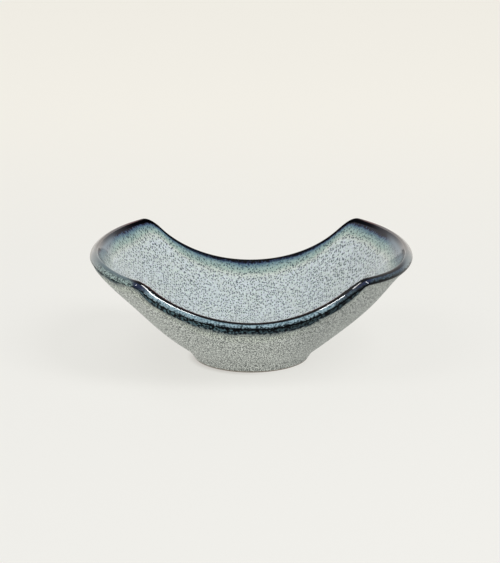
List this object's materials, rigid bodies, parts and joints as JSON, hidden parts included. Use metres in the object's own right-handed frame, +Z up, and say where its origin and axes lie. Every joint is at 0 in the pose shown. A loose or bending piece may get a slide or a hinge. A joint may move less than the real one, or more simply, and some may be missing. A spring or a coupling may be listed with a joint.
{
  "type": "wavy bowl",
  "caption": "Flaring glazed stoneware bowl on a low round foot, its rim dipped at the front and back and high at the two sides.",
  "frame": {"origin": "centre of the circle that the foot stands on, at table height", "axes": "+Z up out of the bowl's mouth, +X towards one of the two high sides of the rim, +Y towards the back dip"},
  "size_m": [0.17, 0.1309, 0.0615],
  "materials": {
    "stoneware": "bare fired clay, fine and slightly rough",
    "pale_glaze": "glossy pale blue-grey glaze with fine dark speckles that run down the slope",
    "moss_glaze": "satin grey-green glaze with fine dark mottling",
    "rim_glaze": "glossy dark blue-black glaze that breaks to brown at the edges"
  },
  "bodies": {
    "root": {"bowl_body": "stoneware", "foot_ring": "stoneware", "inner_glaze": "pale_glaze", "outer_glaze": "moss_glaze", "rim_glaze": "rim_glaze", "foot_well_glaze": "moss_glaze"}
  },
  "joints": []
}
